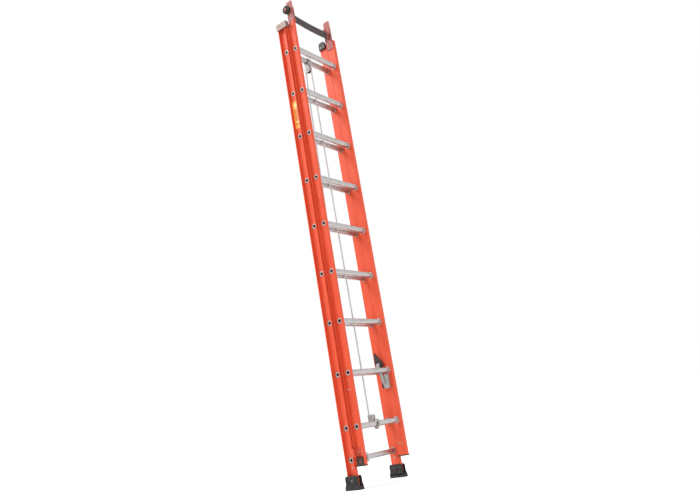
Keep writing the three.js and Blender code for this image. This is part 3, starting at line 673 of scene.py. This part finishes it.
def cheek_outline(half, top):
    """One cheek seen from the side, narrower above the sole and with round top corners."""
    corner, foot, shoulder = 12 * MM, SOLE_EDGE - 6 * MM, SOLE_EDGE + 14 * MM
    foot_half = half - 1 * MM
    points = [(-foot_half, foot), (foot_half, foot), (foot_half, SOLE_EDGE), (CHEEK_HALF_TOP, shoulder)]
    points += arc((CHEEK_HALF_TOP - corner, top - corner), corner, 0, 90, 5)
    points += arc((corner - CHEEK_HALF_TOP, top - corner), corner, 90, 180, 5)
    return points + [(-CHEEK_HALF_TOP, shoulder), (-foot_half, SOLE_EDGE)]


def make_boot(side, sign):
    """The rubber shoe, and the bolt right through its cheeks: a nut inside and a sunk head outside."""
    node = f"boot_{side}"
    low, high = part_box(node)
    inner, outer = reach_of(node)
    middle = (low.y + high.y) / 2
    half = (high.y - low.y) / 2
    bolt_z = 0.65 * high.z
    sole_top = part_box(f"base_rail_{side}")[0].z - 0.5 * MM

    bm = bmesh.new()
    sole = [(middle + y, z) for y, z in sole_outline(half, sole_top)]
    add_prism(bm, sole, "X", sign * inner, sign * outer)
    cheek = [(middle + y, z) for y, z in cheek_outline(half, high.z)]
    add_prism(bm, cheek, "X", sign * inner, sign * (inner + CHEEK))
    add_prism(bm, cheek, "X", sign * (outer - CHEEK), sign * (outer - RIB_STANDS))
    rib_half, rib_low, rib_high = 2 * MM, SOLE_EDGE + 6 * MM, high.z - 9 * MM
    rib_x = (sign * (outer - RIB_STANDS - 1 * MM), sign * (outer - 0.2 * MM))
    for offset in (-34, -24, 24, 34):
        y = middle + offset * MM
        add_prism(bm, rounded_box((y - rib_half, rib_low), (y + rib_half, rib_high), 1.9 * MM), "X", *rib_x)
    boss = in_mm([(0, -1), (17, -1), (17, 1.4), (16, 2.0), (0, 2.0)])
    add_turned(bm, boss, along_x(sign * (outer - RIB_STANDS), middle, bolt_z, sign), 36)
    finish_piece(piece_from(bm, f"{node}_shoe", 1.1 * MM, 3), "base", "rubber", stands_for=[node])

    bm = bmesh.new()
    add_hex_head(bm, along_x(sign * inner, middle, bolt_z, -sign), 7 * MM)
    finish_piece(piece_from(bm, f"boot_nut_{side}"), "base", "black_plastic", smooth_angle=30)
    bm = bmesh.new()
    sunk = in_mm([(0, -3), (7.5, -3), (7.5, 0.1), (6.2, 0.9), (3.2, 1.1), (2.6, 0.2), (0, 0.2)])
    add_turned(bm, sunk, along_x(sign * (outer - 1.2 * MM), middle, bolt_z, sign), 32)
    finish_piece(piece_from(bm, f"boot_bolt_{side}"), "base", "zinc_metal", smooth_angle=30)


def make_boots():
    for side, sign in SIDES:
        make_boot(side, sign)


# ---- Guides, blocks, caps and brackets ----

# Pressed and moulded pieces that keep their CAD shape, and how far their edges are rounded, in mm.
SOFT_EDGES = {
    "top_guide": 0.7,
    "top_block": 2.0,
    "fly_cap": 1.2,
    "bottom_guide": 0.7,
    "top_bracket": 0.9,
    "lock_body": 1.8,
    "lock_hook": 1.2,
    "lock_flipper": 1.4,
    "lock_pin": 1.0,
}


def make_plates():
    for stem, bevel in SOFT_EDGES.items():
        for side, _ in SIDES:
            soften(f"{stem}_{side}", bevel * MM, GUIDE_REFLECTION_TINT if stem == "top_guide" else None)
    soften("pulley_housing", 0.8 * MM)
    soften("pulley_pin", 0.8 * MM)
    soften("rope_clamp", 0.9 * MM)


def base_rivets(side, sign):
    """Through the top block, on the top guide's back and above the boot."""
    rail_low, rail_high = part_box(f"base_rail_{side}")
    inner, tip = reach_of(f"base_rail_{side}")
    web_in, web_out = sign * inner, sign * (inner + WEB)
    middle = (rail_low.y + rail_high.y) / 2

    block_x = sign * reach_of(f"top_block_{side}")[0]
    block_z = (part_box(f"top_block_{side}")[0].z + rail_high.z) / 2
    heads = []
    for y in (middle - 13 * MM, middle + 13 * MM):
        heads += through_plate(add_rivet, block_x, web_out, y, block_z, sign, 5 * MM)
    guide_low, guide_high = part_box(f"top_guide_{side}")
    guide_z = guide_low.z + 0.62 * (guide_high.z - guide_low.z)
    for share in (0.35, 0.75):
        x = sign * (inner + share * (tip - inner))
        heads.append((add_rivet, along_y(x, guide_high.y, guide_z), 4 * MM))
    return heads + through_plate(add_rivet, web_in, web_out, middle, rail_low.z + 94 * MM, sign, 6 * MM)


def fly_rivets(side, sign):
    """Through the top bracket, the bottom guide and the lock body."""
    rail_low, rail_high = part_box(f"fly_rail_{side}")
    inner = reach_of(f"fly_rail_{side}")[0]
    web_in, web_out = sign * inner, sign * (inner + WEB)
    middle = (rail_low.y + rail_high.y) / 2

    heads = []
    bracket_x = sign * reach_of(f"top_bracket_{side}")[0]
    bracket_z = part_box(f"top_bracket_{side}")[0].z
    for y in (middle - 15 * MM, middle + 15 * MM):
        for z in (bracket_z + 18 * MM, bracket_z + 46 * MM):
            heads += through_plate(add_rivet, bracket_x, web_out, y, z, sign, 5 * MM)
    guide_low, guide_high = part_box(f"bottom_guide_{side}")
    guide_x = web_out + sign * 3.3 * MM
    guide_z = (guide_low.z + guide_high.z) / 2
    for y in (middle - 12 * MM, middle + 14 * MM):
        heads += through_plate(add_rivet, web_in, guide_x, y, guide_z, sign, 4.2 * MM)
    body_x = sign * reach_of(f"lock_body_{side}")[0]
    _, body_y, body_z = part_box(f"lock_body_{side}")[0]
    for y, z in in_mm([(9, 14), (23, 14), (9, 62)]):
        heads += through_plate(add_rivet, body_x, web_out, body_y + y, body_z + z, sign, 4 * MM)
    return heads


def make_fasteners():
    for section, rivets in (("base", base_rivets), ("fly", fly_rivets)):
        heads = [head for side, sign in SIDES for head in rivets(side, sign)]
        fasteners(f"{section}_rivets", section, heads)


def make_clamp_bolt():
    low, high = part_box("rope_clamp")
    middle = (low.x + high.x) / 2
    rope_low, rope_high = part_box("rope_hoist_leg")
    y = (rope_low.y + rope_high.y) / 2 - 6 * MM
    z = high.z - 12 * MM
    cheek_half = 8 * MM
    heads = through_plate(add_hex_head, middle - cheek_half, middle + cheek_half, y, z, 1, 5 * MM)
    fasteners("rope_clamp_bolt", "fly", heads)


def make_lock_bumpers():
    """A black rubber strip on each lock body's rear edge."""
    for side, sign in SIDES:
        node = f"lock_body_{side}"
        low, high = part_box(node)
        inner, outer = reach_of(node)
        corner_low = (high.y - 3 * MM, low.z + 3 * MM)
        corner_high = (high.y + 8 * MM, high.z - 24 * MM)
        bm = bmesh.new()
        outline = rounded_box(corner_low, corner_high, 3 * MM)
        add_prism(bm, outline, "X", sign * inner, sign * (outer - 1 * MM))
        finish_piece(piece_from(bm, f"lock_bumper_{side}", 0.9 * MM), "fly", "rubber")


def make_cap_plates():
    """A paler square with a button, set in the recess of each end cap."""
    half, thick, button_r = 10 * MM, 2 * MM, 4.5 * MM
    for side, sign in SIDES:
        rail_low, rail_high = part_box(f"fly_rail_{side}")
        face = reach_of(f"fly_rail_{side}")[1]
        y = (rail_low.y + rail_high.y) / 2
        z = rail_low.z + 20 * MM
        bm = bmesh.new()
        outline = rounded_box((y - half, z - half), (y + half, z + half), 3 * MM)
        add_prism(bm, outline, "X", sign * (face - thick), sign * face)
        button = [(0, -1 * MM), (button_r, -1 * MM), (button_r, 0.6 * MM), (3.8 * MM, 1 * MM), (0, 1 * MM)]
        add_turned(bm, button, along_x(sign * face, y, z, sign), 24)
        piece = piece_from(bm, f"fly_cap_plate_{side}", 0.5 * MM)
        finish_piece(piece, "fly", "black_plastic", CAP_BROWN)


def make_bracket_flanges():
    """Folded edges that stiffen each top bracket, turned in towards the middle."""
    reach, thick, lean = 12 * MM, 3 * MM, 2 * MM
    for side, sign in SIDES:
        node = f"top_bracket_{side}"
        low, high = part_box(node)
        outer = reach_of(node)[1]
        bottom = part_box(f"fly_rail_{side}")[1].z + 4 * MM
        bm = bmesh.new()
        for edge, direction, top in ((low.y, 1, high.z - 56 * MM), (high.y, -1, high.z - 62 * MM)):
            outline = [
                (sign * outer, edge),
                (sign * outer, edge + direction * thick),
                (sign * (outer - reach + lean), edge + direction * thick),
                (sign * (outer - reach), edge + direction * thick / 2),
                (sign * (outer - reach + lean), edge),
            ]
            add_prism(bm, outline, "Z", bottom, top)
        finish_piece(piece_from(bm, f"bracket_flange_{side}", 0.6 * MM), "fly", "bracket_metal")


# ---- Wall rollers and their axles ----

ROLLER_BORE = 5.5 * MM
ROLLER_HUB = 13 * MM
ROLLER_GROOVES = 3
# An axle bolt as (radius, height) in millimetres. Heights start at the nut's face, and the domed
# head's are counted from the bolt's far end.
AXLE_NUT = ((0, 0), (8, 0), (9, 1), (9, 4.9), (4.9, 4.9))
AXLE_HEAD = ((4.9, -4), (10.8, -4), (10.8, -2.6), (9.4, -1.3), (6.4, -0.4), (3, 0), (0, 0))
AXLE_HEXAGON = ((0, -0.4), (6.4, -0.4), (7.4, 0.6), (7.4, 3), (0, 3))


def tyre_profile(radius, half):
    """Both dished sides of a tyre and its grooved tread."""
    dish = 2.4 * MM
    near = [(ROLLER_BORE, -half), (ROLLER_HUB, -half), (ROLLER_HUB + 1.5 * MM, dish - half)]
    near += [(radius - 6 * MM, dish - half), (radius - 4.5 * MM, -half), (radius - 3 * MM, -half)]
    near += [(radius - 0.9 * MM, 0.9 * MM - half), (radius, 3 * MM - half)]
    pitch = 2 * (half - 3 * MM) / ROLLER_GROOVES
    wide, narrow, deep = 1.6 * MM, 0.7 * MM, 1.6 * MM
    tread = []
    for groove in range(ROLLER_GROOVES):
        middle = 3 * MM - half + (groove + 0.5) * pitch
        tread += [(radius, middle - wide), (radius - deep, middle - narrow)]
        tread += [(radius - deep, middle + narrow), (radius, middle + wide)]
    return [*near, *tread, *((r, -h) for r, h in reversed(near))]


def make_roller(side, sign):
    node = f"wall_roller_{side}"
    low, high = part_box(node)
    x, y, z = (low + high) / 2
    half = (high.x - low.x) / 2
    bm = bmesh.new()
    add_turned(bm, tyre_profile((high.z - low.z) / 2, half), along_x(x, y, z), 56, closed=True)
    finish_piece(piece_from(bm, f"{node}_tyre"), node, "rubber", stands_for=[node], smooth_angle=28)

    bush_in, bush_out = ROLLER_BORE - 0.2 * MM, 8.5 * MM
    end, step = half + 0.6 * MM, half - 0.2 * MM
    bush = [(bush_in, -end), (bush_out, -end), (bush_out, -step), (bush_out, step), (bush_out, end)]
    bm = bmesh.new()
    add_turned(bm, [*bush, (bush_in, end)], along_x(x, y, z), 36, closed=True)
    finish_piece(piece_from(bm, f"{node}_bush"), node, "zinc_metal", smooth_angle=28)

    node = f"roller_axle_{side}"
    inner, outer = reach_of(node)
    place = along_x(sign * inner, y, z, sign)
    head = [(radius, outer - inner + height) for radius, height in in_mm(AXLE_HEAD)]
    bm = bmesh.new()
    add_turned(bm, [*in_mm(AXLE_NUT), *head], place, 40)
    add_turned(bm, in_mm(AXLE_HEXAGON), place, 6)
    piece = piece_from(bm, f"{node}_bolt")
    finish_piece(piece, "fly", "bracket_metal", stands_for=[node], smooth_angle=30)


def make_rollers():
    for side, sign in SIDES:
        make_roller(side, sign)


# ---- Pole strap ----

STRAP_THICK = 5 * MM
STRAP_SAG = 9 * MM
STRAP_RIBS = 13
STRAP_STEPS = STRAP_RIBS * 10
STRAP_ROWS = 9


def strap_section(x, half, low, high, rib):
    """One upright section at x: a rolled edge above and below, and between them a rib or a groove."""
    front, back = low.y, high.y - low.y
    height = high.z - low.z - STRAP_SAG
    bottom = high.z - height - STRAP_SAG * (1 - (x / half) ** 2)
    rear, face = [], []
    for row in range(STRAP_ROWS + 1):
        z = bottom + height * row / STRAP_ROWS
        at_end = row in (0, STRAP_ROWS)
        beside_end = row in (1, STRAP_ROWS - 1)
        stands = 0.0 if at_end else 0.9 * rib * (back - STRAP_THICK)
        bead = 1.2 * MM * (1 - rib) if beside_end else 0.0
        rear.append((x, front + STRAP_THICK + stands + bead, z))
        sunk = 0.0 if beside_end else 2.2 * MM * (1 - rib)
        face.append((x, front + (1.4 * MM if at_end else sunk), z))
    return rear + face[::-1]


def make_strap():
    """A thick ribbed band that sags between the brackets."""
    low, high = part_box("pole_strap")
    half = high.x
    bm = bmesh.new()
    sections = []
    for step in range(STRAP_STEPS + 1):
        share = step / STRAP_STEPS
        phase = (share * STRAP_RIBS) % 1.0
        rib = max(0.0, math.sin(math.pi * min(1.0, max(0.0, 2 * phase - 0.5)))) ** 0.6
        corners = strap_section((2 * share - 1) * half, half, low, high, rib)
        sections.append([bm.verts.new(corner) for corner in corners])
    join_rings(bm, sections)
    piece = piece_from(bm, "pole_strap_band")
    finish_piece(piece, "fly", "strap_rubber", stands_for=["pole_strap"], smooth_angle=50)


def make_strap_ends():
    """Bolt heads outside each bracket and a riveted tab on the strap's front inside it."""
    low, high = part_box("pole_strap")
    bottom, top = low.z + STRAP_SAG, high.z
    middle_y, middle_z = (low.y + high.y) / 2, (bottom + top) / 2
    heads = []
    tabs = bmesh.new()
    tab_front, tab_back, tab_long = low.y - 2.2 * MM, low.y - 0.2 * MM, 26 * MM
    for side, sign in SIDES:
        inner, outer = reach_of(f"top_bracket_{side}")
        for z in (middle_z - 15 * MM, middle_z + 15 * MM):
            heads.append((add_hex_head, along_x(sign * outer, middle_y, z, sign), 5 * MM))
        outline = rounded_box((tab_front, bottom), (tab_back, top), 0.9 * MM, 3)
        add_prism(tabs, outline, "X", sign * inner, sign * (inner - tab_long))
        for z in (bottom + 15 * MM, top - 15 * MM):
            add_rivet(tabs, along_y(sign * (inner - tab_long / 2), tab_front, z, -1), 4.5 * MM)
    fasteners("strap_bolts", "fly", heads)
    finish_piece(piece_from(tabs, "strap_tabs", 0.5 * MM), "fly", "bracket_metal")


# ---- Pulley ----


def make_sheave():
    low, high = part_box("sheave")
    x, y, z = (low + high) / 2
    radius = (high.z - low.z) / 2
    half = (high.x - low.x) / 2
    dished = half - 1.6 * MM
    near = [(4.5 * MM, -half), (9 * MM, -half), (10 * MM, -dished), (17 * MM, -dished), (18 * MM, -half)]
    near += [(radius - 0.6 * MM, -half), (radius, 0.6 * MM - half)]
    groove_r = 6.6 * MM
    groove_centre = 24 * MM
    turns = [math.radians(-80 + 160 * i / 10) for i in range(11)]
    groove = [(groove_centre - groove_r * math.cos(a), groove_r * math.sin(a)) for a in turns]
    far = [(r, -h) for r, h in reversed(near)]
    bm = bmesh.new()
    add_turned(bm, [*near, *groove, *far], along_x(x, y, z), 56, closed=True)
    piece = piece_from(bm, "sheave_wheel")
    finish_piece(piece, "sheave", "black_plastic", stands_for=["sheave"], smooth_angle=28)


# ---- Rope ----

ROPE_R = 5 * MM
STRANDS = 3
LAY = 34 * MM  # rope length for one turn of a strand
ROPE_STEP = 3 * MM


def curve_point(a, b, c, d, t):
    """The Catmull-Rom curve between b and c."""
    curve = 2 * b + (c - a) * t + (2 * a - 5 * b + 4 * c - d) * t * t
    return (curve + (3 * b - 3 * c + d - a) * t * t * t) / 2


def smooth_path(points, step):
    """Evenly spaced points on a smooth curve through the given ones."""
    ends = [2 * points[0] - points[1], *points, 2 * points[-1] - points[-2]]
    dense = []
    for a, b, c, d in zip(ends, ends[1:], ends[2:], ends[3:]):
        pieces = max(2, int((c - b).length / (step / 4)))
        dense += [curve_point(a, b, c, d, i / pieces) for i in range(pieces)]
    dense.append(points[-1])
    reach = [0.0]
    for a, b in zip(dense, dense[1:]):
        reach.append(reach[-1] + (b - a).length)
    count = max(2, round(reach[-1] / step))
    even, index = [], 0
    for i in range(count + 1):
        target = reach[-1] * i / count
        while index < len(reach) - 2 and reach[index + 1] < target:
            index += 1
        span = reach[index + 1] - reach[index]
        share = (target - reach[index]) / span if span else 0
        even.append(dense[index].lerp(dense[index + 1], share))
    return even


def rope_piece(name, points, stands_for):
    """Sweeps a three-lobed section along the path, turning it once in each lay."""
    bm = bmesh.new()
    path = smooth_path(points, ROPE_STEP)
    around = 6 * STRANDS
    side = Vector((1, 0, 0))
    travelled = 0.0
    rings = []
    for i, here in enumerate(path):
        ahead = (path[min(i + 1, len(path) - 1)] - path[max(i - 1, 0)]).normalized()
        side = (side - ahead * side.dot(ahead)).normalized()
        up = ahead.cross(side)
        if i:
            travelled += (here - path[i - 1]).length
        twist = 2 * math.pi * travelled / LAY
        ring = []
        for k in range(around):
            angle = 2 * math.pi * k / around
            lobe = abs(math.cos(STRANDS * angle / 2)) ** 0.75
            radius = ROPE_R * (0.74 + 0.26 * lobe)
            turn = angle + twist
            ring.append(bm.verts.new(here + (side * math.cos(turn) + up * math.sin(turn)) * radius))
        rings.append(ring)
    join_rings(bm, rings)
    piece = piece_from(bm, name)
    finish_piece(piece, "base", "rope", stands_for=stands_for, smooth_angle=60)
    return piece


def make_hoist_leg(x, top_y):
    """From the clamp on the fly up to the sheave."""
    low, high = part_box("rope_hoist_leg")
    foot_y = low.y + ROPE_R
    points = [
        Vector((x, foot_y, low.z)),
        Vector((x, foot_y, low.z + 0.3)),
        Vector((x, (foot_y + top_y) / 2, (low.z + high.z) / 2)),
        Vector((x, top_y, high.z)),
    ]
    hoist = rope_piece("rope_hoist_strands", points, ["rope_hoist_leg"])
    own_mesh(hoist)


def make_hauling_leg(wheel, hitch_x, haul_y):
    """Over the sheave, and down behind the rungs to the hitch."""
    low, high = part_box("rope_hauling_leg")
    top_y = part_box("rope_over_sheave")[1].y - ROPE_R
    reach = top_y - wheel.y
    turns = [math.pi - math.pi * i / 12 for i in range(13)]
    over = [wheel + Vector((0, reach * math.cos(a), reach * math.sin(a))) for a in turns]
    top = Vector((wheel.x, haul_y, high.z))
    foot = Vector((hitch_x, haul_y, low.z))
    near = top.lerp(foot, 0.025)
    down = [Vector((near.x, top_y + 0.5 * MM, near.z))]
    down += [top.lerp(foot, share) for share in (0.08, 0.25, 0.5, 0.75, 1.0)]
    rope_piece("rope_hauling_strands", [*over, *down], ["rope_over_sheave", "rope_hauling_leg"])


def make_hitch(x, haul_y):
    """Turns round the lowest rung, more round the standing part above it, and a short taped tail."""
    rung_low, rung_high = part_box("base_rung_0")
    rung = (rung_low + rung_high) / 2
    points = [Vector((x, haul_y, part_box("rope_hauling_leg")[0].z - 0.5 * MM))]
    loop_r = 21.5 * MM + ROPE_R
    rung_turns, half_spread, steps = 2.25, 11.5 * MM, 36
    for i in range(steps + 1):
        share = i / steps
        a = math.radians(-12) - 2 * math.pi * rung_turns * share
        across = x + (1 - 2 * share) * half_spread
        points.append(Vector((across, rung.y + loop_r * math.cos(a), rung.z + loop_r * math.sin(a))))
    knot_r = 2 * ROPE_R + 0.4 * MM
    knot_z = rung.z + 30 * MM
    knot_turns, knot_pitch, steps = 2.0, 10.5 * MM, 22
    for i in range(steps + 1):
        share = i / steps
        a = math.radians(150) + 2 * math.pi * knot_turns * share
        z = knot_z + knot_pitch * knot_turns * share
        points.append(Vector((x + knot_r * math.cos(a), haul_y + knot_r * math.sin(a), z)))
    tail_y = haul_y + 14 * MM
    points.append(Vector((x - 6 * MM, tail_y, knot_z + 14 * MM)))
    points.append(Vector((x - 8 * MM, tail_y + 3 * MM, knot_z - 12 * MM)))
    points.append(Vector((x - 5 * MM, tail_y + 4 * MM, knot_z - 50 * MM)))
    rope_piece("rope_hitch_strands", points, ["rope_hitch"])

    bm = bmesh.new()
    tape = in_mm([(0, -8), (5.2, -8), (5.6, -7.2), (5.6, 7.2), (5.2, 8), (0, 8)])
    add_turned(bm, tape, Matrix.Translation(points[-1] - Vector((0, 0, 2 * MM))), 28)
    piece = piece_from(bm, "rope_end_tape")
    finish_piece(piece, "base", "rope", MATERIALS["black_plastic"], smooth_angle=50)


def make_rope():
    wheel_low, wheel_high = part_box("sheave")
    wheel = (wheel_low + wheel_high) / 2
    hitch_low, hitch_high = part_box("rope_hitch")
    hitch_x = (hitch_low.x + hitch_high.x) / 2
    haul_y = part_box("rope_hauling_leg")[1].y - ROPE_R
    make_hoist_leg(wheel.x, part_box("rope_hoist_leg")[1].y - ROPE_R)
    make_hauling_leg(wheel, hitch_x, haul_y)
    make_hitch(hitch_x, haul_y)


# ---- Sticker ----


def make_patch(name, inset, bottom, top, lift, material, stands_for=()):
    """One layer of the sticker. All but its thickness are shares of the sticker's width or height."""
    low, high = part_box("sticker")
    width, height = high.y - low.y, high.z - low.z
    corner_low = (low.y + inset * width, low.z + bottom * height)
    corner_high = (high.y - inset * width, low.z + top * height)
    bm = bmesh.new()
    add_prism(bm, rounded_box(corner_low, corner_high, 2.5 * MM), "X", high.x, high.x - lift)
    finish_piece(piece_from(bm, name), "base", "sticker", material, stands_for=stands_for)


def make_sticker():
    """A plain vinyl patch: a border, a dark field and two pale bars, with no lettering."""
    make_patch("sticker_sheet", 0.0, 0.0, 1.0, 0.4 * MM, MATERIALS["sticker"], ["sticker"])
    make_patch("sticker_field", 0.2, 0.12, 0.7, 0.5 * MM, STICKER_DARK)
    make_patch("sticker_bar_low", 0.32, 0.2, 0.27, 0.56 * MM, STICKER_PALE)
    make_patch("sticker_bar_high", 0.2, 0.78, 0.9, 0.5 * MM, STICKER_PALE)


make_camera()
make_studio()
make_rails()
make_rungs()
make_boots()
make_plates()
make_fasteners()
make_clamp_bolt()
make_lock_bumpers()
make_cap_plates()
make_bracket_flanges()
make_rollers()
make_strap()
make_strap_ends()
make_sheave()
make_rope()
make_sticker()
